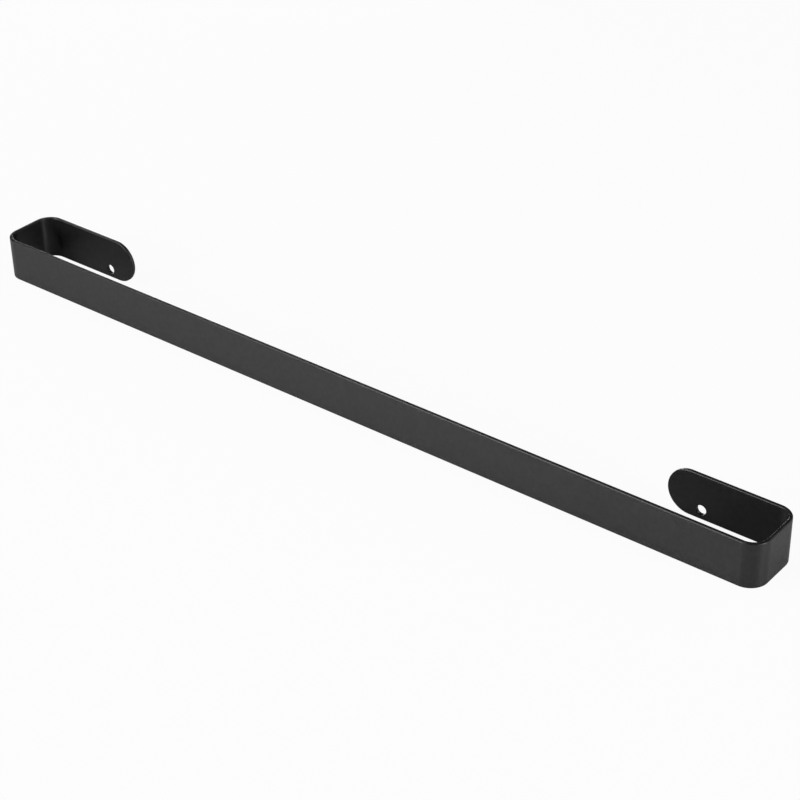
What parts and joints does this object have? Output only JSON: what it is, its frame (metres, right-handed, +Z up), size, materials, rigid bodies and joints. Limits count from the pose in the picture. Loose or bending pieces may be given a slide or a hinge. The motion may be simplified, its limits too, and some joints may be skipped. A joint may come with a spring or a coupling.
{
  "type": "towel bar",
  "caption": "Wall towel bar folded from one flat strip: a straight front, rounded bends to short legs, and tabs with full-round tips and a low screw hole that turn inwards along the wall.",
  "frame": {"origin": "on the wall plane, midway between the centres of the two screw holes", "axes": "+X along the bar, +Y into the wall, +Z up with the strip standing on edge"},
  "size_m": [0.6, 0.044, 0.03],
  "materials": {
    "black_coating": "satin black powder coat with a fine even grain"
  },
  "bodies": {
    "root": {"towel_bar": "black_coating"}
  },
  "joints": []
}
